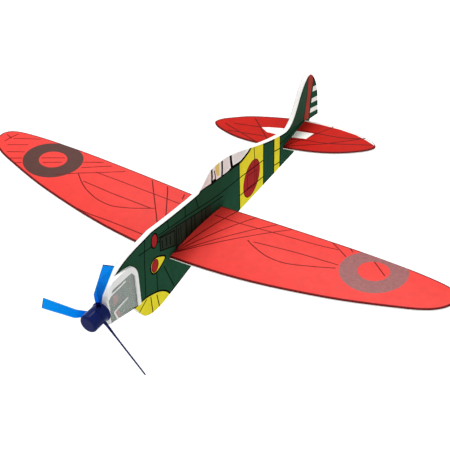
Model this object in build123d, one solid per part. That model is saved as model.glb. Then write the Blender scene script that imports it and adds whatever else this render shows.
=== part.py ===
from build123d import *
from math import atan2, degrees, sqrt
import os

# Toy foam glider with a free-spinning three-blade propeller, in millimetres.
# +Z is up, the nose points to -Y and the port wing to +X. The drawing frame below
# has its zero on the wing root's chord line. The parts are moved at the end, so that
# the finished plane stands over the origin with its belly on z = 0.

# ---- driving dimensions ----
HALF_SPAN = 103.0
WING_LEADING_EDGE = -24.1
WING_TRAILING_EDGE = 12.5
CAMBER_RISE = 1.2
DIHEDRAL = 2.8
ROOT_OVERLAP = 1.0

TAIL_HALF_SPAN = 39.5
TAIL_ROOT_Y = 60.3
TAIL_LEADING_EDGE = 0.1
TAIL_TRAILING_EDGE = 20.4
TAIL_INCIDENCE = 8.2
TAIL_ROLL = 9.0

FILM = 0.06
SHEET_FOAM = 1.0
BOARD_HALF = 1.06
SLOT_GAP = 0.08

NOSE_Y = -61.2
RUDDER_END_Y = 91.5
BELLY_Z = -18.0
KEEL_FRONT = (24.0, -10.3)
KEEL_REAR = (69.6, -7.8)

CLIP_FRONT_Y = -62.4
CLIP_GAP = 0.03
CLIP_WALL = 0.85
CLIP_OUTER = BOARD_HALF + CLIP_GAP + CLIP_WALL
CLIP_RIM = 0.5
RIB_HEIGHT = 0.4
RIB_WIDTH = 0.6
BOSS_BASE_RADIUS = 2.9
BOSS_TIP_RADIUS = 2.1
BOSS_END_Y = -62.9
# Raised mouldings start this deep in the wall below them, so that they fuse with it.
SINK = 0.1

AXLE_Z = 3.4
PIN_RADIUS = 0.75
PIN_TAIL_Y = -56.5
PIN_HEAD_RADIUS = 1.35
PIN_HEAD = 0.7
PIN_POINT = 1.2
PIN_POINT_RADIUS = 0.15
PIN_HEAD_BEVEL = 0.3
PIN_CLEARANCE = 0.05

HUB_REAR_Y = -63.0
HUB_FRONT_Y = -67.0
HUB_RADIUS = 3.45
HUB_LIP_RADIUS = 3.8
HUB_LIP = 0.9
HUB_BEVEL = 0.4
SPIGOT_RADIUS = 2.6
SPIGOT_LENGTH = 1.0
CAP_SEAM = 0.15
CAP_RADIUS = 3.5
CAP_FRONT_Y = -71.5
CAP_FRONT_WALL = 1.3
CAP_FRONT_ROUND = 1.0
BLADE_COUNT = 3
BLADE_REACH = 26.3
BLADE_Y = -65.1
FIRST_BLADE_ANGLE = 72.3

# The drawing frame's point that becomes the finished part's origin.
ORIGIN_Y = (CAP_FRONT_Y + RUDDER_END_Y) / 2
ORIGIN_Z = BELLY_Z


# ---- helpers ----
def side_face(*edges):
    """A face drawn as (y, z) on the plane of symmetry."""
    return Plane.YZ * make_face(Curve() + list(edges))


def plate(face, x_from, x_to):
    """The side face as a plate between two x positions."""
    return extrude(Pos(x_from, 0, 0) * face, amount=x_to - x_from, dir=(1, 0, 0))


def turned(*steps):
    """A solid of revolution about the propeller's axis, from (y, radius) steps."""
    first, last = steps[0], steps[-1]
    profile = Polyline((first[0], 0), *steps, (last[0], 0), close=True)
    axis = Axis((0, 0, 0), (0, 1, 0))
    solid = revolve(Plane.YZ * make_face(profile), axis=axis)
    return Pos(0, 0, AXLE_Z) * solid


def save(shape, node):
    export_step(Pos(0, -ORIGIN_Y, -ORIGIN_Z) * shape, f"parts/{node}.step")


# ---- fuselage board ----
def fuselage_face():
    nose_top = (NOSE_Y, 8.6)
    spine_front = (-34.0, 18.6)
    canopy_front = (-3.6, 16.1)
    windscreen_top = (4.6, 21.6)
    fin_root = (61.5, 6.8)
    rudder_foot = (RUDDER_END_Y, 0.5)
    cone_end = (84.2, 1.7)
    scoop_front = (-47.3, -7.6)
    chin = (-58.0, -4.9)
    nose_bottom = (NOSE_Y, -4.1)
    return side_face(
        Line(nose_bottom, nose_top),
        Spline(nose_top, (-59.6, 11.6), (-57.3, 13.6), (-51.0, 16.5), (-43.4, 17.8), spine_front),
        Spline(spine_front, (-18.0, 17.0), canopy_front),
        Line(canopy_front, windscreen_top),
        Spline(windscreen_top, (12.8, 21.6), (25.8, 18.2), (42.2, 12.2), (53.8, 8.6), fin_root),
        Spline(
            fin_root, (66.5, 7.4), (72.0, 13.2), (79.2, 22.9), (82.0, 24.4),
            (87.4, 20.0), (90.6, 9.0), rudder_foot,
        ),
        Line(rudder_foot, cone_end),
        Spline(cone_end, (77.5, -3.6), KEEL_REAR),
        Line(KEEL_REAR, KEEL_FRONT),
        Spline(
            KEEL_FRONT, (-10.5, -14.1), (-25.3, -17.1), (-35.4, BELLY_Z),
            (-40.8, -16.3), (-44.6, -11.8), scoop_front,
        ),
        Line(scoop_front, chin),
        Line(chin, nose_bottom),
    )


# ---- wing ----
def camber(y):
    """Height of the wing's top face over the root chord line."""
    half_chord = (WING_TRAILING_EDGE - WING_LEADING_EDGE) / 2
    middle = (WING_TRAILING_EDGE + WING_LEADING_EDGE) / 2
    radius = (half_chord**2 + CAMBER_RISE**2) / (2 * CAMBER_RISE)
    return sqrt(radius**2 - (y - middle) ** 2) - (radius - CAMBER_RISE)


def wing_half_planform():
    """The port half's outline, seen from above, reaching a little past the middle."""
    root_front = (0, WING_LEADING_EDGE)
    root_back = (0, WING_TRAILING_EDGE)
    inner_front = (-ROOT_OVERLAP, WING_LEADING_EDGE)
    inner_back = (-ROOT_OVERLAP, WING_TRAILING_EDGE)
    round_the_tip = Spline(
        root_front, (15, -23.9), (28, -23.2), (41.5, -21.7), (54.5, -19.6), (67.5, -17.0),
        (79.5, -13.8), (88, -11.2), (95, -8.6), (99.8, -5.4), (102.3, -1.8), (HALF_SPAN, 1.6),
        (102.0, 4.6), (99.0, 6.9), (94, 8.4), (86, 9.7), (76, 10.7), (64, 11.5), (48, 12.0),
        (28, 12.3), root_back,
    )
    root = Polyline(root_back, inner_back, inner_front, root_front)
    return make_face(Curve() + [round_the_tip, root])


def camber_section(front, back, top, thickness):
    """The curved sheet's section between two y positions, with its top face raised by top."""
    middle = (front + back) / 2
    upper = [(y, camber(y) + top) for y in (front, middle, back)]
    lower = [(y, z - thickness) for y, z in upper]
    return side_face(
        ThreePointArc(*upper),
        Line(upper[2], lower[2]),
        ThreePointArc(*reversed(lower)),
        Line(lower[0], upper[0]),
    )


def wing_layer(top, thickness):
    """One layer of the cambered wing, from that height above the foam downwards."""
    section = camber_section(WING_LEADING_EDGE - 1, WING_TRAILING_EDGE + 1, top, thickness)
    strip = plate(section, -ROOT_OVERLAP - 1, HALF_SPAN + 1)
    flat = strip & extrude(wing_half_planform(), amount=2 * CAMBER_RISE, both=True)
    port_side = Box(HALF_SPAN, HALF_SPAN, HALF_SPAN, align=(Align.MIN, Align.CENTER, Align.CENTER))
    port = (Rot(0, -DIHEDRAL, 0) * flat) & port_side
    return port + mirror(port, about=Plane.YZ)


def wing_slot():
    """The slot through the board, just wide enough for the wing's shallow V."""
    front = WING_LEADING_EDGE - SLOT_GAP
    back = WING_TRAILING_EDGE + SLOT_GAP
    height = SHEET_FOAM + FILM + 2 * SLOT_GAP
    return plate(camber_section(front, back, FILM + SLOT_GAP, height), -BOARD_HALF, BOARD_HALF)


# ---- tailplane ----
def tailplane_half_planform():
    """The port half's outline in the tailplane's own plane."""
    root_front = (0, TAIL_LEADING_EDGE)
    root_back = (0, TAIL_TRAILING_EDGE)
    round_the_tip = Spline(
        root_front, (11, 0.3), (20, 1.2), (28, 3.1), (34, 5.4), (38, 7.7), (TAIL_HALF_SPAN, 9.8),
        (38.3, 11.8), (34, 14.1), (28, 16.4), (20, 18.2), (10, 19.5), root_back,
    )
    return make_face(Curve() + [round_the_tip, Line(root_back, root_front)])


def in_tail_slot(shape):
    """Tilts a tailplane shape as it sits in the board and moves it to its place."""
    return Pos(0, TAIL_ROOT_Y, 0) * Rot(0, -TAIL_ROLL, 0) * Rot(TAIL_INCIDENCE, 0, 0) * shape


def tailplane_layer(top, thickness):
    """One layer of the tailplane, from that height above the foam downwards."""
    outline = tailplane_half_planform()
    port = extrude(Pos(0, 0, top - thickness) * outline, amount=thickness)
    return in_tail_slot(port + mirror(port, about=Plane.YZ))


def tailplane_slot():
    chord = TAIL_TRAILING_EDGE - TAIL_LEADING_EDGE + 2 * SLOT_GAP
    height = SHEET_FOAM + FILM + 2 * SLOT_GAP
    centre_y = (TAIL_TRAILING_EDGE + TAIL_LEADING_EDGE) / 2
    centre_z = (FILM - SHEET_FOAM) / 2
    return in_tail_slot(Pos(0, centre_y, centre_z) * Box(4 * BOARD_HALF, chord, height))


# ---- nose clip ----
def clip_face():
    bottom_front = (CLIP_FRONT_Y, -2.9)
    front_top = (CLIP_FRONT_Y, 9.9)
    crown = (-58.6, 14.2)
    top_rear = (-47.6, 12.9)
    rear_top = (-44.9, 7.0)
    rear_bottom = (-44.5, -6.7)
    return side_face(
        Line(bottom_front, front_top),
        ThreePointArc(front_top, (-61.2, 12.5), crown),
        Spline(crown, (-54.0, 14.3), top_rear),
        ThreePointArc(top_rear, (-45.9, 10.7), rear_top),
        Line(rear_top, rear_bottom),
        Line(rear_bottom, bottom_front),
    )


def clip_panel_face():
    """The clip's thin panel, inside the raised rim along its top and rear edges."""
    below, ahead = BELLY_Z, CAP_FRONT_Y
    rim_edge = [(ahead, 8.2), (-61.4, 8.2), (-59.4, 11.0), (-48.5, 10.8), (-46.7, 8.2)]
    return side_face(Polyline((ahead, below), *rim_edge, (-45.9, below), close=True))


def rib_pair(start, end):
    """A straight moulded rib on both side walls, from (y, z) to (y, z)."""
    run = Vector(*end) - Vector(*start)
    middle = (Vector(*start) + Vector(*end)) / 2
    angle = degrees(atan2(run.Y, run.X))
    slot = SlotCenterToCenter(run.length, RIB_WIDTH, rotation=angle)
    outline = Plane.YZ * (Pos(middle) * slot)
    port = plate(outline, CLIP_OUTER - SINK, CLIP_OUTER + RIB_HEIGHT)
    return port + mirror(port, about=Plane.YZ)


def nose_clip(board):
    """One moulding: two side walls joined round the board's nose, with rim, ribs and boss."""
    walls = plate(clip_face(), -CLIP_OUTER, CLIP_OUTER)
    rim_face = clip_face() - clip_panel_face()
    rim = plate(rim_face, CLIP_OUTER - SINK, CLIP_OUTER + CLIP_RIM)
    rim += mirror(rim, about=Plane.YZ)
    boss = turned((CLIP_FRONT_Y + SINK, BOSS_BASE_RADIUS), (BOSS_END_Y, BOSS_TIP_RADIUS))
    elbow = (-59.5, 0.9)
    ribs = rib_pair((-61.0, 9.2), (-52.0, 9.4))
    ribs += rib_pair(elbow, (-51.7, 1.6))
    ribs += rib_pair(elbow, (-58.0, -3.2))
    pocket = plate(board, -BOARD_HALF - CLIP_GAP, BOARD_HALF + CLIP_GAP)
    return walls + rim + boss + ribs - pocket - press_hole()


# ---- propeller ----
def blade_section(radius, lead, trail, thickness, pitch):
    """A blade's section at a radius: it reaches lead ahead of the blade's axis and trail
    behind it, and its pitch is measured from the plane in which the propeller turns."""
    centre = (lead - trail) / 2
    edge_round = 0.45 * thickness
    outline = Pos(centre, 0) * RectangleRounded(lead + trail, thickness, edge_round)
    return Plane.YZ.offset(radius) * (Rot(0, 0, 90 + pitch) * outline)


def blade(angle):
    """One blade, drawn along +X in the propeller's own frame and turned to its place."""
    inside_hub = blade_section(2.6, lead=1.5, trail=0.4, thickness=1.3, pitch=44)
    neck = blade_section(5.2, lead=1.9, trail=0.1, thickness=0.9, pitch=40)
    shoulder = blade_section(10.4, lead=3.4, trail=-0.3, thickness=0.6, pitch=37)
    tip = blade_section(BLADE_REACH, lead=2.8, trail=1.0, thickness=0.5, pitch=36.5)
    solid = loft([inside_hub, neck, shoulder, tip], ruled=True)
    return Pos(0, BLADE_Y, AXLE_Z) * Rot(0, -angle, 0) * solid


def hub():
    lip_y = HUB_REAR_Y - HUB_LIP
    return turned(
        (HUB_REAR_Y, HUB_LIP_RADIUS - HUB_BEVEL),
        (HUB_REAR_Y - HUB_BEVEL, HUB_LIP_RADIUS),
        (lip_y, HUB_LIP_RADIUS),
        (lip_y - HUB_BEVEL, HUB_RADIUS),
        (HUB_FRONT_Y, HUB_RADIUS),
        (HUB_FRONT_Y, SPIGOT_RADIUS),
        (HUB_FRONT_Y - SPIGOT_LENGTH, SPIGOT_RADIUS),
    )


def spinner_cap():
    rim_y = HUB_FRONT_Y - CAP_SEAM
    cavity_y = CAP_FRONT_Y + CAP_FRONT_WALL
    outside = turned((rim_y, CAP_RADIUS), (CAP_FRONT_Y, CAP_RADIUS))
    front_edge = outside.edges().sort_by(Axis.Y)[0]
    outside = fillet(front_edge, CAP_FRONT_ROUND)
    cavity = turned((rim_y + 1, SPIGOT_RADIUS), (cavity_y, SPIGOT_RADIUS))
    return outside - cavity


def axle_pin():
    head_y = HUB_FRONT_Y - SPIGOT_LENGTH - PIN_CLEARANCE
    head_front_y = head_y - PIN_HEAD
    return turned(
        (PIN_TAIL_Y, PIN_POINT_RADIUS),
        (PIN_TAIL_Y - PIN_POINT, PIN_RADIUS),
        (head_y, PIN_RADIUS),
        (head_y, PIN_HEAD_RADIUS),
        (head_front_y + PIN_HEAD_BEVEL, PIN_HEAD_RADIUS),
        (head_front_y, PIN_HEAD_RADIUS - PIN_HEAD_BEVEL),
    )


def press_hole():
    """The hole that the pin's pointed tail fills in the clip and the foam."""
    return turned(
        (CAP_FRONT_Y, PIN_RADIUS),
        (PIN_TAIL_Y - PIN_POINT, PIN_RADIUS),
        (PIN_TAIL_Y, PIN_POINT_RADIUS),
    )


def running_hole():
    """The looser hole in the propeller."""
    radius = PIN_RADIUS + PIN_CLEARANCE
    return turned((CAP_FRONT_Y, radius), (NOSE_Y, radius))


# ---- assembly ----
def propeller():
    """Hub and blades, one moulding."""
    shape = hub()
    for number in range(BLADE_COUNT):
        shape += blade(FIRST_BLADE_ANGLE + number * 360 / BLADE_COUNT)
    return shape - running_hole()


def main():
    os.makedirs("parts", exist_ok=True)

    board = fuselage_face()
    slots = wing_slot() + tailplane_slot()
    foam_half = BOARD_HALF - FILM
    save(plate(board, -foam_half, foam_half) - slots - press_hole(), "fuselage_foam")
    save(plate(board, foam_half, BOARD_HALF) - slots, "fuselage_print_port")
    save(plate(board, -BOARD_HALF, -foam_half) - slots, "fuselage_print_starboard")
    save(wing_layer(0, SHEET_FOAM), "wing_foam")
    save(wing_layer(FILM, FILM), "wing_print")
    save(tailplane_layer(0, SHEET_FOAM), "tailplane_foam")
    save(tailplane_layer(FILM, FILM), "tailplane_print")
    save(nose_clip(board), "nose_clip")
    save(axle_pin(), "axle_pin")
    save(propeller(), "propeller")
    save(spinner_cap(), "spinner_cap")


main()
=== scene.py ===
"""Looks of the foam glider: printed foam boards, a clear nose clip and a blue propeller.

The artwork is drawn in millimetres from the wing root's chord line: as (y, z) on the fuselage,
as (x, y) on the wing, and as (span, chord) on the tailplane. MM and DRAWING_ORIGIN take it into
the row frame, which is in metres.
"""

from math import atan2, cos, pi, radians, sin, sqrt

import bmesh
import bpy
import numpy as np
from mathutils import Matrix, Vector
from mathutils.geometry import delaunay_2d_cdt


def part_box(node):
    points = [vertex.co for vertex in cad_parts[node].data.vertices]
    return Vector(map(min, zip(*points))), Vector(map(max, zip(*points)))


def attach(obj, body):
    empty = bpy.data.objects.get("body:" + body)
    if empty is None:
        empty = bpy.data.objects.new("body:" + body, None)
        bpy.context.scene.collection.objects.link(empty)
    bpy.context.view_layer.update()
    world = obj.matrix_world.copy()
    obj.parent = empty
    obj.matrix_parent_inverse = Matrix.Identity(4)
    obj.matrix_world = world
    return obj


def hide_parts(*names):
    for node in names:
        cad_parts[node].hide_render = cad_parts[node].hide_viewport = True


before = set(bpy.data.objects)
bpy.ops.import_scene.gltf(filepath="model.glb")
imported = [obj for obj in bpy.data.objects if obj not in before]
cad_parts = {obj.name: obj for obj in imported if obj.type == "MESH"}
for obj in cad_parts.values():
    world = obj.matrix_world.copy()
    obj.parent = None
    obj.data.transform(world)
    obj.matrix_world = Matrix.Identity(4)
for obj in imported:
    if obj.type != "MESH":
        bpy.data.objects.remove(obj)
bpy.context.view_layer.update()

MM = 0.001
DRAWING_ORIGIN = Vector((0, -10, 18)) * MM

# The sheets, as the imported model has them.
FILM = 0.06
WING_FOAM = 1.0
TAIL_FOAM = 1.0
CAMBER_RISE = 1.2
DIHEDRAL = radians(2.8)
TAIL_ROOT = Vector((0, 60.3, 0))
TAIL_ROLL = radians(9)
TAIL_INCIDENCE = radians(8.2)

# The film is drawn a little thinner than it is, so that it stays clear of the foam.
DRAWN_FILM = 0.8 * FILM

# Just outside the clip's flat sides, and in its solid front end.
CLIP_SIDE = 2.14
CLIP_FRONT = -61.4

# The axle's height, how far the hub reaches from it, and the first blade's angle from port, the
# angle from each blade to the next and their pitch.
AXLE = 3.4
HUB_REACH = 4.6
BLADE_ANGLE = radians(72.3)
BLADE_STEP = 2 * pi / 3
BLADE_PITCH = radians(37)

# How far a die-cut edge is rounded, and in how many steps. Faces that meet at more than
# CREASE_ANGLE keep a sharp edge between them.
EDGE_ROUND = 0.3
BOARD_ROUND = 0.25
EDGE_STEPS = 4
CREASE_ANGLE = radians(50)

# How far the film folds down over the edge of its sheet, as a share of the sheet's thickness.
WING_WRAP = 0.55
TAIL_WRAP = 0.5

# The printed lines, the border left round each sheet's ground colour, and the triangles' size.
LINE = 0.45
BORDER = 0.75
SHEET_STEP = 2.0

# A face looks along a direction when the dot product of its normal with it is over FACING. It is
# on a blade's edge when the one with the way through the blade's thickness is under EDGE_ON.
FACING = 0.5
EDGE_ON = 0.6

# Points of a drawing that are closer than MERGE are one. An outline that encloses less than
# SLIVER, in square millimetres, is only where facets don't quite meet.
MERGE = 1e-5
SLIVER = 1


# ---------------------------------------------------------------- materials
def new_material(name):
    material = bpy.data.materials.new(name)
    material.use_nodes = True
    nodes = material.node_tree.nodes
    nodes.clear()
    output = nodes.new("ShaderNodeOutputMaterial")
    surface = nodes.new("ShaderNodeBsdfPrincipled")
    material.node_tree.links.new(surface.outputs[0], output.inputs["Surface"])
    return material, surface


def add(material, kind, **settings):
    """A node with the given properties and socket values; a socket's name has _ for a space."""
    node = material.node_tree.nodes.new(kind)
    for key, value in settings.items():
        socket = key.replace("_", " ").title()
        if hasattr(node, key):
            setattr(node, key, value)
        else:
            node.inputs[socket].default_value = value
    return node


def link(material, source, target):
    material.node_tree.links.new(source, target)


def place(material):
    """Position on the piece itself, in metres."""
    return add(material, "ShaderNodeTexCoord").outputs["Object"]


def mottled(material, surface, colour, share, scale):
    """The colour, varied by that share lighter and darker in soft patches."""
    noise = add(material, "ShaderNodeTexNoise", scale=scale, detail=3.0, roughness=0.6)
    ramp = add(material, "ShaderNodeValToRGB")
    ramp.color_ramp.elements[0].position = 0.3
    ramp.color_ramp.elements[1].position = 0.7
    ramp.color_ramp.elements[0].color = [c * (1 - share) for c in colour] + [1]
    ramp.color_ramp.elements[1].color = [min(1, c * (1 + share)) for c in colour] + [1]
    link(material, place(material), noise.inputs["Vector"])
    link(material, noise.outputs["Fac"], ramp.inputs["Fac"])
    link(material, ramp.outputs["Color"], surface.inputs["Base Color"])


def varied_roughness(material, surface, low, high, scale):
    """Roughness that drifts between the two values."""
    noise = add(material, "ShaderNodeTexNoise", scale=scale, detail=2.0)
    spread = add(material, "ShaderNodeMapRange", to_min=low, to_max=high)
    link(material, place(material), noise.inputs["Vector"])
    link(material, noise.outputs["Fac"], spread.inputs["Value"])
    link(material, spread.outputs["Result"], surface.inputs["Roughness"])


def cell_bump(material, surface, cell, height, strength):
    """The closed cells of the foam, as domes of that size in metres."""
    cells = add(material, "ShaderNodeTexVoronoi", scale=1 / cell)
    grain = add(material, "ShaderNodeTexNoise", scale=2.5 / cell, detail=2.0)
    mixed = add(material, "ShaderNodeMath", operation="MULTIPLY_ADD")
    bump = add(material, "ShaderNodeBump", distance=height, strength=strength)
    bump.invert = True
    where = place(material)
    link(material, where, cells.inputs["Vector"])
    link(material, where, grain.inputs["Vector"])
    link(material, grain.outputs["Fac"], mixed.inputs[0])
    mixed.inputs[1].default_value = 0.35
    link(material, cells.outputs["Distance"], mixed.inputs[2])
    link(material, mixed.outputs[0], bump.inputs["Height"])
    link(material, bump.outputs["Normal"], surface.inputs["Normal"])


def foam_material():
    material, surface = new_material("white_foam")
    mottled(material, surface, (0.81, 0.81, 0.78), 0.035, 900)
    varied_roughness(material, surface, 0.62, 0.85, 700)
    cell_bump(material, surface, 0.7 * MM, 0.08 * MM, 0.5)
    surface.inputs["Subsurface Weight"].default_value = 0.15
    surface.inputs["Subsurface Radius"].default_value = (1.0, 1.0, 0.95)
    surface.inputs["Subsurface Scale"].default_value = 1.2 * MM
    surface.inputs["Specular IOR Level"].default_value = 0.3
    return material


def ink(name, colour, sheen=0.0, speckle=0.06, scale=260):
    """Printed film over foam: ink with the foam's cells showing through faintly."""
    material, surface = new_material(name)
    mottled(material, surface, colour, speckle, scale)
    varied_roughness(material, surface, 0.34, 0.5, 400)
    cell_bump(material, surface, 0.8 * MM, 0.03 * MM, 0.5)
    surface.inputs["Specular IOR Level"].default_value = sheen
    return material


def clip_material(name, colour, clearness):
    """Moulded polythene with a faintly uneven surface, see-through by that share."""
    material, surface = new_material(name)
    mottled(material, surface, colour, 0.04, 500)
    varied_roughness(material, surface, 0.1, 0.22, 900)
    unevenness = add(material, "ShaderNodeTexNoise", scale=450, detail=1.0)
    bump = add(material, "ShaderNodeBump", distance=0.05 * MM, strength=0.3)
    link(material, place(material), unevenness.inputs["Vector"])
    link(material, unevenness.outputs["Fac"], bump.inputs["Height"])
    link(material, bump.outputs["Normal"], surface.inputs["Normal"])
    surface.inputs["Transmission Weight"].default_value = clearness
    surface.inputs["IOR"].default_value = 1.35
    return material


def blade_material():
    """Clear blue plastic that darkens with depth, azure where it is thin."""
    material, surface = new_material("blue_plastic")
    mottled(material, surface, (0.95, 0.97, 1.0), 0.02, 600)
    varied_roughness(material, surface, 0.06, 0.14, 500)
    surface.inputs["Transmission Weight"].default_value = 1.0
    surface.inputs["IOR"].default_value = 1.1
    surface.inputs["Specular IOR Level"].default_value = 0.1
    depth = add(material, "ShaderNodeVolumeAbsorption")
    depth.inputs["Color"].default_value = (0.0, 0.775, 0.945, 1)
    depth.inputs["Density"].default_value = 10 / MM
    output = material.node_tree.nodes["Material Output"]
    link(material, depth.outputs["Volume"], output.inputs["Volume"])
    return material


def hub_material():
    """The same plastic where it is too thick to see through: navy with a gloss."""
    material, surface = new_material("blue_hub")
    mottled(material, surface, (0.006, 0.012, 0.085), 0.2, 700)
    varied_roughness(material, surface, 0.12, 0.2, 500)
    surface.inputs["Specular IOR Level"].default_value = 0.05
    return material


def steel_material():
    material, surface = new_material("pin_steel")
    mottled(material, surface, (0.6, 0.6, 0.6), 0.08, 1500)
    varied_roughness(material, surface, 0.2, 0.4, 2500)
    surface.inputs["Metallic"].default_value = 1.0
    return material


FOAM = foam_material()
INKS = {
    "green": ink("ink_green", (0.017, 0.068, 0.036)),
    # A darker green: partly print, and partly painted shade of the wing on the fuselage.
    "shade": ink("ink_print_and_painted_shade", (0.024, 0.037, 0.024)),
    "black": ink("ink_black", (0.003, 0.005, 0.004)),
    "yellow": ink("ink_yellow", (0.76, 0.66, 0.034)),
    "disc_red": ink("ink_disc_red", (0.36, 0.024, 0.026)),
    "maroon": ink("ink_maroon", (0.16, 0.008, 0.01)),
    "red": ink("ink_red", (0.7, 0.036, 0.028), 0.12),
    # The fuselage green drawn lighter for the fin: a painted sheen.
    "green_with_painted_fin_sheen": ink("ink_green_with_painted_fin_sheen", (0.034, 0.084, 0.05)),
    "fin_red": ink("ink_fin_red", (0.36, 0.055, 0.04)),
    # The wing's red drawn darker for the tailplane: painted shade where the tilted tailplane catches
    # less light.
    "red_with_painted_tail_shade": ink("ink_red_with_painted_tail_shade", (0.45, 0.015, 0.01), 0.02),
    "red_line": ink("ink_red_line", (0.13, 0.005, 0.005), 0.05),
    "grey": ink("ink_grey", (0.08, 0.03, 0.024), 0.1),
    # The roundel's grey drawn lighter for the port ring: partly wear, and partly a painted sheen.
    "grey_with_painted_sheen_and_wear": ink("ink_grey_with_painted_sheen_and_wear", (0.27, 0.095, 0.095), 0.12, 0.16, 900),
    "white": ink("ink_white", (0.88, 0.87, 0.82)),
    "lilac": ink("ink_lilac", (0.79, 0.75, 0.73)),
    "canopy_yellow": ink("ink_canopy_yellow", (0.76, 0.62, 0.2)),
}
INK_NAMES = list(INKS)


# ---------------------------------------------------------------- drawing in the plane
def curve(points, steps=8, closed=False):
    """A smooth line through the points."""
    count = len(points)
    at = [np.array(p, float) for p in points]

    def point(i):
        return at[i % count] if closed else at[min(max(i, 0), count - 1)]

    out = []
    for i in range(count if closed else count - 1):
        before, start, end, after = (point(i + k) for k in (-1, 0, 1, 2))
        for step in range(steps):
            t = step / steps
            across = 2 * start + (end - before) * t
            bend = (2 * before - 5 * start + 4 * end - after) * t**2
            twist = (3 * start - before - 3 * end + after) * t**3
            out.append(tuple((across + bend + twist) / 2))
    if not closed:
        out.append(tuple(at[-1]))
    return out


def ellipse(middle, across, up, steps=48):
    angles = [2 * pi * i / steps for i in range(steps)]
    return [(middle[0] + across * cos(a), middle[1] + up * sin(a)) for a in angles]


def sides(points, closed):
    """The unit normal to the left of the line at each point, lengthened at corners."""
    at = np.array(points, float)
    ahead = np.roll(at, -1, 0) - at
    behind = at - np.roll(at, 1, 0)
    if not closed:
        ahead[-1] = behind[-1]
        behind[0] = ahead[0]
    unit = [v / np.maximum(np.linalg.norm(v, axis=1, keepdims=True), 1e-9) for v in (ahead, behind)]
    normals = [np.stack([-u[:, 1], u[:, 0]], 1) for u in unit]
    middle = normals[0] + normals[1]
    middle /= np.maximum(np.linalg.norm(middle, axis=1, keepdims=True), 1e-9)
    stretch = 1 / np.maximum((middle * normals[0]).sum(1, keepdims=True), 0.5)
    return middle * stretch


def area(points):
    """The signed area of a closed outline, over zero when it runs anticlockwise."""
    at = np.array(points, float)
    following = np.roll(at, -1, 0)
    return ((at[:, 0] * following[:, 1]) - (following[:, 0] * at[:, 1])).sum() / 2


def inset(points, distance):
    """A closed, anticlockwise outline moved inwards."""
    return [tuple(p) for p in np.array(points, float) + sides(points, True) * distance]


def stroke(points, width, closed=False):
    """The outline or outlines of a drawn line."""
    at = np.array(points, float)
    shift = sides(points, closed) * width / 2
    left = [tuple(p) for p in at + shift]
    right = [tuple(p) for p in at - shift]
    return [left, right] if closed else [left + right[::-1]]


def inside(points, outlines):
    """Which of the points lie within the outlines, a second outline being a hole in the first."""
    x, y = points[:, 0], points[:, 1]
    hit = np.zeros(len(points), bool)
    for outline in outlines:
        at = np.array(outline, float)
        for (x0, y0), (x1, y1) in zip(at, np.roll(at, -1, 0)):
            if y0 != y1:
                crosses = (y0 > y) != (y1 > y)
                hit ^= crosses & (x < (x1 - x0) * (y - y0) / (y1 - y0) + x0)
    return hit


class Artwork:
    """Areas of ink in painting order, each as outlines on the flat film."""

    def __init__(self, ground):
        self.ground = ground
        self.areas = []

    def fill(self, colour, *outlines):
        self.areas.append((colour, [list(o) for o in outlines]))

    def line(self, points, width=LINE, colour="black", closed=False):
        self.fill(colour, *stroke(points, width, closed))

    def lines(self, lines, width=LINE, colour="black"):
        for points in lines:
            self.line(points, width, colour)


def divided(outline, step):
    """The outline with points added so that none of its sides is longer than the step."""
    out = []
    for start, end in zip(outline, outline[1:] + outline[:1]):
        start, end = np.array(start), np.array(end)
        parts = max(1, int(np.ceil(np.linalg.norm(end - start) / step)))
        out += [tuple(start + (end - start) * i / parts) for i in range(parts)]
    return out


def cut_up(outlines, art=None, grid=(), step=1000):
    """Triangles that fill the outlines, each of one ink. The artwork's sides are divided to the
    step, in millimetres. Returns points, triangles and inks."""
    points, edges = [], []
    loops = list(outlines)
    for _, area_outlines in art.areas if art else ():
        loops += [divided(outline, step) for outline in area_outlines]
    for loop in loops:
        start = len(points)
        points += loop
        edges += [(start + i, start + (i + 1) % len(loop)) for i in range(len(loop))]
    points += list(grid)
    cut = delaunay_2d_cdt([Vector(p) for p in points], edges, [], 0, MERGE, False)
    at = np.array([tuple(v) for v in cut[0]])
    triangles = np.array([f for f in cut[2] if len(f) == 3])
    middles = at[triangles].mean(1)
    kept = inside(middles, outlines)
    triangles, middles = triangles[kept], middles[kept]
    spans = at[triangles]
    turn = (spans[:, 1, 0] - spans[:, 0, 0]) * (spans[:, 2, 1] - spans[:, 0, 1])
    turn -= (spans[:, 2, 0] - spans[:, 0, 0]) * (spans[:, 1, 1] - spans[:, 0, 1])
    triangles[turn < 0] = triangles[turn < 0][:, ::-1]
    inks = np.zeros(len(triangles), int)
    if art:
        inks[:] = INK_NAMES.index(art.ground)
        for colour, area_outlines in art.areas:
            inks[inside(middles, area_outlines)] = INK_NAMES.index(colour)
    return at, triangles, inks


# ---------------------------------------------------------------- meshes
def node_outlines(node, direction, flat):
    """The outlines, largest first and anticlockwise, of the node's faces that look that way.
    flat takes a point of the row frame to the plane in which they are drawn, in millimetres."""
    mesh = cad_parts[node].data
    following = {}
    for face in mesh.polygons:
        if face.normal.dot(direction) > FACING:
            corners = [tuple(round(c, 7) for c in mesh.vertices[i].co) for i in face.vertices]
            for a, b in zip(corners, corners[1:] + corners[:1]):
                if following.get(b) and a in following[b]:
                    following[b].remove(a)
                else:
                    following.setdefault(a, []).append(b)
    loops = []
    while any(following.values()):
        start = next(a for a, b in following.items() if b)
        loop, here = [], start
        while following.get(here):
            loop.append(here)
            here = following[here].pop()
        loops.append([flat(Vector(p)) for p in loop])
    loops = [loop for loop in loops if abs(area(loop)) > SLIVER]
    loops.sort(key=lambda loop: -abs(area(loop)))
    return [loop if area(loop) > 0 else loop[::-1] for loop in loops]


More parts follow.
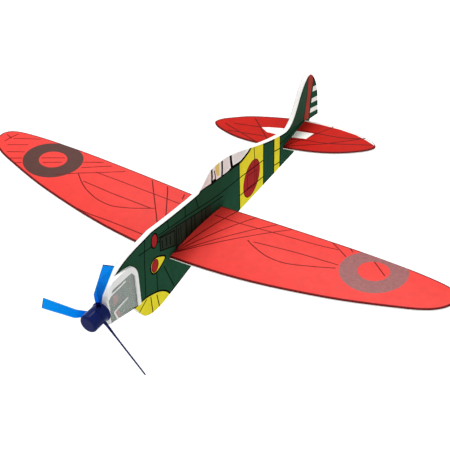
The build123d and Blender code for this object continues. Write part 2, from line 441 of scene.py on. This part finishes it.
def grown(name, points, faces, inks, materials, body):
    """A new piece of those points, in the row frame, and faces, riding on the body."""
    mesh = bpy.data.meshes.new(name)
    mesh.from_pydata([tuple(p) for p in points], [], [tuple(int(i) for i in f) for f in faces])
    for material in materials:
        mesh.materials.append(material)
    mesh.polygons.foreach_set("material_index", np.array(inks, np.int32))
    mesh.polygons.foreach_set("use_smooth", np.ones(len(mesh.polygons), bool))
    mesh.validate()
    mesh.update()
    piece = bpy.data.objects.new(name, mesh)
    bpy.context.scene.collection.objects.link(piece)
    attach(piece, body)
    return piece


def weld(piece, distance=1e-7):
    """Joins points that are within the distance, in the mesh's own unit, and drops loose ones."""
    work = bmesh.new()
    work.from_mesh(piece.data)
    bmesh.ops.remove_doubles(work, verts=work.verts, dist=distance)
    loose = [v for v in work.verts if not v.link_faces]
    bmesh.ops.delete(work, geom=loose, context="VERTS")
    work.to_mesh(piece.data)
    work.free()


def sharpen(piece):
    """Keeps the creases sharp on a piece that is shaded smooth."""
    piece.data.set_sharp_from_angle(angle=CREASE_ANGLE)


def solid_film(piece):
    """Gives an open sheet its thickness, inwards."""
    thick = piece.modifiers.new("film", "SOLIDIFY")
    thick.thickness = DRAWN_FILM * MM
    thick.offset = -1


def edge_rows(thickness, rounding, share=1):
    """(inwards, down) of each row of points round a sheet's edge, from its top face down by that
    share of its thickness."""
    rows = []
    for step in range(EDGE_STEPS + 1):
        a = pi / 2 * step / EDGE_STEPS
        rows.append((rounding * (1 - sin(a)), rounding * (1 - cos(a))))
    for step in range(EDGE_STEPS + 1):
        a = pi / 2 * step / EDGE_STEPS
        rows.append((rounding * (1 - cos(a)), thickness - rounding * (1 - sin(a))))
    return [(inwards, down) for inwards, down in rows if down <= share * thickness + 1e-6]


def add_edge(points, faces, rows, ring):
    """Adds ring(inwards, down), a closed ring of points, for each row, and the faces that join it
    to the ring before. Returns the row of each new face."""
    face_rows = []
    for row, (inwards, down) in enumerate(rows):
        start = len(points)
        points += ring(inwards, down)
        count = len(points) - start
        for i in range(count if row else 0):
            j = (i + 1) % count
            faces.append([start - count + i, start + i, start + j, start - count + j])
            face_rows.append(row)
    return face_rows


def grid_in(outline, step):
    """Points inside the outline, a step apart along the chord and two along the span."""
    at = np.array(outline)
    low, high = at.min(0) + step / 2, at.max(0)
    xs, ys = np.arange(low[0], high[0], step * 2), np.arange(low[1], high[1], step)
    points = np.array([(x, y) for x in xs for y in ys])
    return [tuple(p) for p in points[inside(points, [inset(outline, step / 2)])]]


def sheet_film(name, node, outline, art, grid, rows, lift, body):
    """The film on a sheet's top face, folded over its edge along the rows."""
    inner = inset(outline, rows[0][0])
    at, triangles, inks = cut_up([inner], art, grid, SHEET_STEP)
    points = [lift(p, 0) for p in at]
    faces, colours = [list(t) for t in triangles], list(inks)
    border, side = INK_NAMES.index("red_line"), INK_NAMES.index(art.areas[0][0])

    def ring(inwards, down):
        return [lift(p, down) for p in inset(outline, inwards)]

    for row in add_edge(points, faces, rows, ring):
        colours.append(border if row <= EDGE_STEPS else side)
    film = grown(name, points, faces, colours, list(INKS.values()), body)
    weld(film)
    sharpen(film)
    solid_film(film)
    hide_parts(node)


def sheet_foam(name, node, outline, grid, thickness, lift, body):
    """The foam of a sheet, which starts a film's thickness inside the outline."""
    rows = edge_rows(thickness, EDGE_ROUND)
    middle = inset(outline, FILM + rows[0][0])
    at, triangles, _ = cut_up([middle], None, grid)
    points = [lift(p, FILM) for p in at]
    faces = [list(t) for t in triangles]
    under = len(points)
    points += [lift(p, FILM + thickness) for p in at]
    faces += [[under + i for i in t[::-1]] for t in triangles]

    def ring(inwards, down):
        return [lift(p, FILM + down) for p in inset(outline, FILM + inwards)]

    add_edge(points, faces, rows, ring)
    foam = grown(name, points, faces, [0] * len(faces), [FOAM], body)
    weld(foam)
    sharpen(foam)
    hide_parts(node)


def printed_sheet(kind, outline, art, lift, thickness, wrap):
    """A printed foam sheet, the wing or the tailplane: the foam, rounded along its edge, and the
    film over it. lift(point, down) takes a point of the outline's plane to the row frame, down
    below the film's face. The film folds over the edge by the share wrap."""
    rows = edge_rows(thickness + FILM, EDGE_ROUND + FILM, wrap)
    grid = grid_in(inset(outline, rows[0][0]), SHEET_STEP)
    sheet_film(
        f"{kind}_artwork", f"{kind}_print", outline, art, grid, rows, lift, "airframe"
    )
    sheet_foam(
        f"{kind}_board", f"{kind}_foam", outline, grid, thickness, lift, "airframe"
    )


# ---------------------------------------------------------------- wing
def wing_flat(p):
    return ((p.x - DRAWING_ORIGIN.x) / MM, (p.y - DRAWING_ORIGIN.y) / MM)


WING_OUTLINE = node_outlines("wing_print", Vector((0, 0, 1)), wing_flat)[0]
WING_FRONT = min(y for _, y in WING_OUTLINE)
WING_BACK = max(y for _, y in WING_OUTLINE)


def camber(y):
    """Height of the foam's top face over the root's chord line."""
    half_chord = (WING_BACK - WING_FRONT) / 2
    radius = (half_chord**2 + CAMBER_RISE**2) / (2 * CAMBER_RISE)
    return sqrt(radius**2 - (y - (WING_BACK + WING_FRONT) / 2) ** 2) - (radius - CAMBER_RISE)


def on_wing(p, down):
    """A point of the drawing on the cambered wing, in the row frame."""
    height = camber(p[1]) + FILM - down
    along = (abs(p[0]) + height * sin(DIHEDRAL)) / cos(DIHEDRAL)
    rise = along * sin(DIHEDRAL) + height * cos(DIHEDRAL)
    return DRAWING_ORIGIN + Vector((p[0], p[1], rise)) * MM


def wing_artwork():
    art = Artwork("red_line")
    art.fill("red", inset(WING_OUTLINE, BORDER))

    starboard, port = (-72.8, -1.2), (71.1, 2.4)
    # The port ring is the same grey ink, drawn lighter: partly wear, and partly a painted sheen.
    for middle, ring in ((starboard, "grey"), (port, "grey_with_painted_sheen_and_wear")):
        art.fill(ring, ellipse(middle, 12.4, 12.4, 64))
        art.fill("red", ellipse(middle, 5.8, 5.8))

    # Starboard: slanting panel lines by the tip, a swept arc, ribs and spars by the root.
    slanting = [
        [(-96.4, 1.3), (-86.9, 7.8)],
        [(-95.1, -3.8), (-88.1, 1.2)],
        [(-92, -7.7), (-85.7, -3.7)],
        [(-88.3, -10.6), (-83.8, -7.6)],
        [(-77.3, -3.1), (-69.5, 2.5)],
        [(-84.7, -11.9), (-81.9, -10.1)],
        [(-74.8, -5.4), (-68.5, -0.7)],
        [(-61.5, 4.4), (-55, 9.6)],
        [(-61.1, 4.8), (-55.8, 8.7)],
        [(-59.6, 0.7), (-50.6, 9.2)],
        [(-65.3, -9), (-58.3, -3), (-51.9, 1.9), (-43.8, 9.3)],
    ]
    tip_marks = [
        [(-97.9, -2.3), (-97.7, 1.6), (-96.9, 5.2)],
        [(-100.6, 2.1), (-96.9, 1)],
    ]
    root_lines = [
        [(-53.2, -6.1), (-39.2, -6.2), (-20.8, -5.4)],
        curve([(-52.8, 1.7), (-41.4, 2.3), (-27, 2.9), (-14.4, 3.5), (-1, 3.9)]),
        [(-31.5, 10.8), (-14.5, -10.1), (-3.9, -22.7)],
        [(-24, 10.8), (-21.4, 7.1), (-14, -4.6), (-2.8, -22.3)],
        [(-15.4, 10.1), (-14, 6.6)],
        curve([(-48.2, -20.4), (-39.7, -20.7), (-29.5, -20), (-15.6, -19.5), (-1.1, -19.2)]),
    ]
    swept = curve(
        [(-58.3, -3), (-53.8, -6.7), (-48.7, -9.8), (-41.8, -12.2), (-35.3, -12.6),
         (-30.9, -11.3), (-26, -8.9), (-19.4, -4.6)]
    )
    art.lines(slanting + tip_marks + root_lines + [swept], LINE, "red_line")

    # Port: a fan from the root's front corner, two spars, an arc and two ribs.
    corner = (0.8, -21.8)
    fan = [[corner, end] for end in ((8.4, 12.6), (17.1, 12.4), (27, 12.4), (33.1, 11.7))]
    spars = [
        curve([(2.2, 5.1), (14.1, 5), (28.7, 5.9), (45.5, 6.9), (54, 8)]),
        curve([(24.5, -3.1), (33.4, -2.1), (43, -1.2), (58.5, -0.6)]),
    ]
    port_arc = curve(
        [(22, -3.1), (24.6, -4.7), (30.3, -7.3), (35.3, -8.6), (41.9, -8.5), (51.4, -5.5), (58.5, -2.7)]
    )
    ribs = [
        [(49.8, 11.5), (58.6, 5.4)],
        [(57.2, 11.3), (59.5, 9.4)],
        [(68.7, 7.8), (75.7, 1.7)],
    ]
    art.lines(fan + spars + [port_arc] + ribs, LINE, "red_line")
    return art


def wing():
    printed_sheet("wing", WING_OUTLINE, wing_artwork(), on_wing, WING_FOAM, WING_WRAP)


# ---------------------------------------------------------------- tailplane
TAIL_TURN = Matrix.Rotation(-TAIL_ROLL, 3, "Y") @ Matrix.Rotation(TAIL_INCIDENCE, 3, "X")


def tail_flat(p):
    local = TAIL_TURN.inverted() @ ((p - DRAWING_ORIGIN) / MM - TAIL_ROOT)
    return (local.x, local.y)


def on_tail(p, down):
    local = Vector((p[0], p[1], FILM - down))
    return DRAWING_ORIGIN + (TAIL_TURN @ local + TAIL_ROOT) * MM


def tail_artwork(outline):
    art = Artwork("red_line")
    # The red here is drawn darker than the wing's: painted shade.
    art.fill("red_with_painted_tail_shade", inset(outline, BORDER))
    # The film stops short of the port trailing edge, where the foam shows.
    margin = [(1, 19.2), (10, 18.6), (20, 17.3), (28, 15.5), (34, 13.1), (38.5, 10.8)]
    beyond = [(45, 10.8), (45, 25), (1, 25)]
    art.fill("white", margin + beyond)
    patch = [
        (-15.5, 10.7), (-12.5, 11.5), (-6.1, 12.3), (1, 12), (9.7, 12.1),
        (8.1, 7.9), (1.2, 7.4), (-4.6, 7.6), (-11.5, 8.2),
    ]
    lines = [
        [(-21.9, 16), (-8.3, 3.3), (-5.8, 0.9)],
        [(-34.1, 9.6), (-10.9, 0.1)],
        [(-30, 10.4), (-21.9, 10.7), (-15.5, 10.7)],
        [(-30, 5.2), (-21, 5.2), (-10.9, 5.3)],
        [(0.8, 0.8), (10.6, 11.8), (16, 18.4)],
        [(0.8, 0.8), (18.6, 7), (33.3, 14.5)],
        curve([(2.8, 13), (16.5, 12.3), (25.1, 12.4), (33.3, 14.2)]),
        curve([(0.8, 6.1), (9.8, 7), (19.1, 7.3), (38, 10.8)]),
    ]
    art.lines(lines, 0.5, "red_line")
    art.fill("white", patch)
    return art


def tailplane():
    up = TAIL_TURN @ Vector((0, 0, 1))
    outline = node_outlines("tailplane_print", up, tail_flat)[0]
    printed_sheet("tailplane", outline, tail_artwork(outline), on_tail, TAIL_FOAM, TAIL_WRAP)


# ---------------------------------------------------------------- fuselage
def fuselage_artwork(outline):
    art = Artwork("black")
    art.fill("green", inset(outline, BORDER))

    # The darker panel over the wing root: partly print, and partly painted shade that the wing casts on
    # the fuselage.
    art.fill(
        "shade",
        [(-30.3, 13.3), (-25, 12.1), (-11.7, 9.5), (2.8, 6.5), (4.6, 6), (3.6, -2), (-20, -2),
         (-20.4, 3), (-29.5, 6.8)],
    )

    # Yellow bands with the leaning disc between them.
    top, bottom = 30, -30
    for front, back in ((25.2, 44.1), (52.7, 57.8)):
        art.fill("yellow", [(front, bottom), (back, bottom), (back, top), (front, top)])
        for y in (front, back):
            art.line([(y, bottom), (y, top)], 0.7)
    disc = [(y + 0.13 * z, z) for y, z in ellipse((34.6, 0), 6.3, 8.1, 64)]
    art.fill("disc_red", disc)
    art.line(disc, 0.35, "maroon", closed=True)
    hatch = [(31.2, 3.1), (38.7, 1.8), (38.7, -4.4), (31.2, -3.1)]
    art.line(hatch, 0.4, "maroon", closed=True)
    across = [
        [(25.2, 5.8), (44.1, 3.4)],
        [(25.2, -2.9), (44.1, -4.9)],
        [(52.7, 2.6), (57.8, 1.3)],
        [(52.7, -4.5), (57.8, -5.6)],
        [(36.6, 14), (37.1, 7.9)],
    ]
    art.lines(across, 0.5)
    art.line([(37.1, 7.9), (37.1, -5), (34.4, -5)], 0.4, "maroon")

    # Canopy: pale panes edged with white over a heavy sill, with dark frames and one yellow pane.
    sill = curve(
        [(-4.6, 16.7), (0.6, 16.1), (4.9, 15.3), (9.4, 14.7), (13.9, 14.1), (18.5, 13.8),
         (20.8, 13.8), (25.6, 13), (28, 13.2), (29.9, 13.6), (32.8, 14.4), (35.4, 16)], 6
    )
    art.fill("white", sill + [(34, 30), (-4.6, 30)])
    panes = [
        [(-4, 17.6), (1, 17.2), (3, 17.2), (4.2, 24), (-4, 20)],
        [(14.1, 15.5), (17.8, 15.1), (17.6, 30), (13.9, 30)],
        [(21.2, 15.1), (25.8, 14.2), (29.8, 14.9), (31, 30), (20.4, 30)],
    ]
    for pane in panes:
        art.fill("lilac", pane)
    art.fill("canopy_yellow", [(8.2, 19.4), (9.2, 16.3), (10.8, 15.9), (11.3, 30), (7.9, 30)])
    art.fill("black", [(5.2, 14.6), (8.6, 14.6), (8.3, 16.2), (6.2, 16.4)])
    art.line([(5.3, 14.7), (5.7, 18), (5.6, 22)], 1.1)
    art.line([(8.1, 15.2), (7.9, 17.7), (7.4, 20)], 0.6)
    art.line([(12.6, 14.6), (12.9, 17.6), (12.9, 21.3)], 1.2)
    art.line([(19.9, 14.1), (19.3, 17.3), (18.9, 22)], 1.6)
    # The sill's line is heavier behind the middle pane.
    heavy_from = 29
    art.line(sill[:heavy_from + 1], 0.7)
    art.line(sill[heavy_from:], 1.3)

    # Nose: cowling lines, the small oval, the teardrop and the scoop under it.
    art.lines(
        [
            [(-38, 17.6), (-39, 11.2), (-40.3, -9)],
            [(-32.6, -1), (-32.9, -10.4)],
            [(-42.2, 13.4), (-29.4, 11.3)],
            curve([(-30.2, 14.4), (-19.3, 12.5), (-9.5, 10.9), (6.9, 7.7), (25, 5.8)]),
            curve([(-30.3, 13.3), (-19.4, 11.2), (-4.8, 8), (13.2, 4.6)]),
            [(-18.9, 11.4), (-19.4, 0)],
            [(-12.7, 10), (-12.8, 0)],
            [(-9, 9.2), (-9.4, 0)],
            [(-6.9, 8.6), (-6.9, 0)],
            [(-2, 7.8), (-2.2, 0)],
            [(0.7, 7), (0.6, 0)],
            [(-24, 17.4), (-23.8, 13.4)],
            [(-12.8, 16), (-12.9, 11.6)],
            [(-5.9, 16.1), (-4.3, 10.2)],
            [(-28, -1.5), (-22.5, -15.5)],
        ]
    )
    art.line([(-29.2, 12.5), (-20, 9.9), (-20.4, 3), (-29.5, 6.8)], 0.55, closed=True)
    for y, z in ((-28, 6.8), (-25.5, 6.4), (-23.1, 5.4)):
        art.line([(y, z), (y, z + 4)], 0.55)
    for y in (-17.6, -16.2):
        art.line([(y, 9.4), (y, 3)], 0.4)

    oval = ellipse((-32.6, 13.6), 1.9, 3.1)
    art.fill("disc_red", oval)
    art.line(oval, 0.6, closed=True)

    teardrop = curve(
        [(-36, 2.8), (-35.4, 4.8), (-33.4, 5.8), (-30.4, 5), (-26.8, 2.2), (-30.3, -0.3),
         (-33.4, -0.9), (-35.4, 0.4)], 6, closed=True
    )
    art.fill("yellow", teardrop)
    pupil = ellipse((-33.3, 2.5), 2.0, 2.7)
    art.fill("disc_red", pupil)
    art.line(pupil, 0.4, "maroon", closed=True)
    art.line(teardrop, 0.7, closed=True)

    arc = curve(
        [(-48, -7.5), (-41.5, -7.7), (-37.2, -8.6), (-31.7, -10.8), (-27.4, -14.1), (-24.6, -18)]
    )
    art.fill("yellow", arc + [(-24.6, -30), (-50, -30)])
    art.line(arc, 0.75)
    art.line([(-39.8, -8.8), (-45.4, -12)], 0.5)
    art.line([(-37.3, -9.6), (-36.7, -18)], 0.5)
    art.line([(-33.6, -11.2), (-32.5, -18)], 0.5)

    # Red patches that show through the nose clip.
    for patch in (
        [(-58.6, 7.5), (-55.9, 6.4), (-55.9, 3.3), (-58.7, 2.6)],
        [(-58.1, 0.9), (-55.9, -1.6), (-55, -4.4), (-57.2, -4.6)],
    ):
        art.fill("red", patch)

    # Fin: a red band along the hinge and white bars on the rudder.
    bars = [
        [(86, 16.9), (95, 14.9), (95, 12.1), (85.6, 14.6)],
        [(85.2, 11.4), (95, 9.1), (95, 6.9), (84.7, 9.4)],
        [(84.2, 6.9), (95, 4.2), (95, 2), (83.8, 4.8)],
    ]
    for bar in bars:
        art.fill("white", bar)
    front_edge = [(78.2, 4), (79.2, 8.4), (80.4, 14), (80.9, 20), (81.4, 23.6)]
    back_edge = [(84.4, 24.4), (85.9, 20.6), (85, 16.6), (83.9, 12), (83.4, 7), (82.8, 2.6)]
    # A lighter green over the fin's front: painted sheen.
    art.fill("green_with_painted_fin_sheen", [(66, 6.3), (72.6, 13), (79.6, 22.4), (80.9, 23)] + front_edge[::-1])
    art.fill("fin_red", front_edge + [(82.6, 30), (84.4, 30)] + back_edge)
    art.lines([curve(front_edge), curve(back_edge)], 0.4)
    art.line([(57.7, 3.4), (66, 3.4), (78.2, 4)], 0.4)
    return art


def fuselage_flat(p):
    return ((p.y - DRAWING_ORIGIN.y) / MM, (p.z - DRAWING_ORIGIN.z) / MM)


def standing(p, x):
    """A point of the drawing on the upright plane at x, in the row frame."""
    return DRAWING_ORIGIN + Vector((x, p[0], p[1])) * MM


def fuselage_films(outline, holes):
    film_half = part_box("fuselage_print_port")[1].x / MM
    edge = inset(outline, BOARD_ROUND * 0.6)
    at, triangles, inks = cut_up([edge] + holes, fuselage_artwork(outline))
    for name, side in (("port", 1), ("starboard", -1)):
        points = [standing(p, side * film_half) for p in at]
        faces = [list(t)[::side] for t in triangles]
        film = grown(f"fuselage_artwork_{name}", points, faces, inks, list(INKS.values()),
                     "airframe")
        weld(film)
        solid_film(film)
        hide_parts(f"fuselage_print_{name}")


def fuselage_board(outline, holes):
    """The foam board, with rounded outer edges and square-cut slots."""
    foam_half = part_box("fuselage_foam")[1].x / MM
    rows = edge_rows(2 * foam_half, BOARD_ROUND)
    at, triangles, _ = cut_up([inset(outline, rows[0][0])] + holes)
    points, faces = [], []
    for side in (1, -1):
        start = len(points)
        points += [standing(p, side * foam_half) for p in at]
        faces += [[start + i for i in list(t)[::side]] for t in triangles]

    def ring_round(loop):
        return lambda inwards, down: [standing(p, foam_half - down) for p in inset(loop, inwards)]

    add_edge(points, faces, rows, ring_round(outline))
    for hole in holes:
        walls = []
        add_edge(points, walls, [(0, 0), (0, 2 * foam_half)], ring_round(hole))
        faces += [wall[::-1] for wall in walls]
    foam = grown("fuselage_board", points, faces, [0] * len(faces), [FOAM], "airframe")
    weld(foam)
    sharpen(foam)
    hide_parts("fuselage_foam")


def fuselage():
    outline, *holes = node_outlines("fuselage_print_port", Vector((1, 0, 0)), fuselage_flat)
    fuselage_films(outline, holes)
    fuselage_board(outline, holes)


# ---------------------------------------------------------------- mouldings
def moulded(name, node, material, body, voxel=0.11):
    """The node's own shape with its edges softened as they come out of a mould. The voxel is in
    millimetres."""
    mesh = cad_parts[node].data.copy()
    mesh.transform(Matrix.Scale(1 / MM, 4))
    rough = bpy.data.objects.new(name + "_rough", mesh)
    bpy.context.scene.collection.objects.link(rough)
    weld(rough, 1e-4)
    remesh = rough.modifiers.new("remesh", "REMESH")
    remesh.mode = "VOXEL"
    remesh.voxel_size = voxel
    soften = rough.modifiers.new("soften", "SMOOTH")
    soften.factor = 0.5
    soften.iterations = 3
    lighter = rough.modifiers.new("lighter", "DECIMATE")
    lighter.decimate_type = "COLLAPSE"
    lighter.ratio = 0.5
    bpy.context.view_layer.update()
    depsgraph = bpy.context.evaluated_depsgraph_get()
    shaped = bpy.data.meshes.new_from_object(rough.evaluated_get(depsgraph))
    bpy.data.objects.remove(rough)
    shaped.transform(Matrix.Scale(MM, 4))
    shaped.materials.clear()
    shaped.materials.append(material)
    shaped.polygons.foreach_set("use_smooth", np.ones(len(shaped.polygons), bool))
    shaped.update()
    piece = bpy.data.objects.new(name, shaped)
    bpy.context.scene.collection.objects.link(piece)
    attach(piece, body)
    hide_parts(node)
    return piece


def recoloured(piece, material, chosen):
    """Gives another material to the faces chosen by their middle, in drawing millimetres, and
    their normal."""
    piece.data.materials.append(material)
    for face in piece.data.polygons:
        if chosen((face.center - DRAWING_ORIGIN) / MM, face.normal):
            face.material_index = 1


def on_clip_rim(p, normal):
    """On the clip's raised rim and ribs, its front end or an edge of its walls."""
    return abs(p.x) > CLIP_SIDE or p.y < CLIP_FRONT or abs(normal.x) < FACING


def looks_navy(p, normal):
    """On the hub, where the plastic is thick, or on a blade's edge, where it is seen end-on."""
    reach = sqrt(p.x**2 + (p.z - AXLE) ** 2)
    around = atan2(p.z - AXLE, p.x) - BLADE_ANGLE
    blade_angle = BLADE_ANGLE + BLADE_STEP * round(around / BLADE_STEP)
    ahead = Vector((-sin(blade_angle), 0, cos(blade_angle)))
    through = Vector((0, cos(BLADE_PITCH), 0)) + ahead * sin(BLADE_PITCH)
    return reach < HUB_REACH or abs(normal.dot(through)) < EDGE_ON


def mouldings():
    clip = moulded(
        "clear_nose_clip", "nose_clip", clip_material("clear_clip", (0.82, 0.9, 0.84), 0.83),
        "airframe",
    )
    # Milky plastic on the rim, ribs, front end and wall edges, drawn whiter as a painted highlight too.
    recoloured(clip, clip_material("milky_rim_with_painted_highlight", (0.95, 0.96, 0.94), 0.2), on_clip_rim)

    propeller = moulded(
        "three_blade_propeller", "propeller", blade_material(), "spinning_propeller"
    )
    navy = hub_material()
    recoloured(propeller, navy, looks_navy)
    moulded("propeller_cap", "spinner_cap", navy, "spinning_propeller", 0.09)
    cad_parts["axle_pin"].data.materials.clear()
    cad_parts["axle_pin"].data.materials.append(steel_material())


# ---------------------------------------------------------------- stage
def stage():
    floor_mesh = bpy.data.meshes.new("floor")
    reach, height = 3.0, -0.3
    corners = [(-reach, -reach), (reach, -reach), (reach, reach), (-reach, reach)]
    floor_mesh.from_pydata([(x, y, height) for x, y in corners], [], [(0, 1, 2, 3)])
    floor = bpy.data.objects.new("floor", floor_mesh)
    bpy.context.scene.collection.objects.link(floor)
    material, surface = new_material("pale_floor")
    mottled(material, surface, (0.93, 0.93, 0.93), 0.01, 4)
    surface.inputs["Roughness"].default_value = 0.9
    surface.inputs["Specular IOR Level"].default_value = 0.1
    floor_mesh.materials.append(material)


def softbox(name, place_at, target, size, power):
    light = bpy.data.lights.new(name, "AREA")
    light.shape = "SQUARE"
    light.size = size
    light.energy = power
    lamp = bpy.data.objects.new(name, light)
    lamp.location = place_at
    lamp.rotation_euler = (Vector(target) - Vector(place_at)).to_track_quat("-Z", "Y").to_euler()
    bpy.context.scene.collection.objects.link(lamp)


def lights():
    world = bpy.data.worlds.new("studio")
    world.use_nodes = True
    background = world.node_tree.nodes["Background"]
    background.inputs["Color"].default_value = (1, 1, 1, 1)
    background.inputs["Strength"].default_value = 0.72
    bpy.context.scene.world = world
    middle = (0, 0, 0.02)
    softbox("key", (-0.75, -0.3, 1.5), middle, 1.0, 14)
    softbox("sheen", (-0.3, 0.72, 0.9), middle, 0.45, 5)
    softbox("fill", (0.9, -0.6, 0.9), middle, 0.9, 1.5)


def camera():
    azimuth, elevation, roll = radians(33.03), radians(37.83), -0.0244
    position = (0.18185, -0.2742, 0.2653)
    back = Vector((sin(azimuth) * cos(elevation), -cos(azimuth) * cos(elevation), sin(elevation)))
    right = Vector((cos(azimuth), sin(azimuth), 0))
    up = back.cross(right)
    tilted_right = right * cos(roll) + up * sin(roll)
    tilted_up = up * cos(roll) - right * sin(roll)
    view = bpy.data.cameras.new("camera")
    view.lens = 84
    view.sensor_width = 36
    view.clip_start = 0.01
    eye = bpy.data.objects.new("camera", view)
    turn = Matrix((tilted_right, tilted_up, back)).transposed().to_4x4()
    eye.matrix_world = Matrix.Translation(position) @ turn
    bpy.context.scene.collection.objects.link(eye)
    bpy.context.scene.camera = eye


fuselage()
wing()
tailplane()
mouldings()
stage()
lights()
camera()
bpy.context.scene.view_settings.view_transform = "Standard"
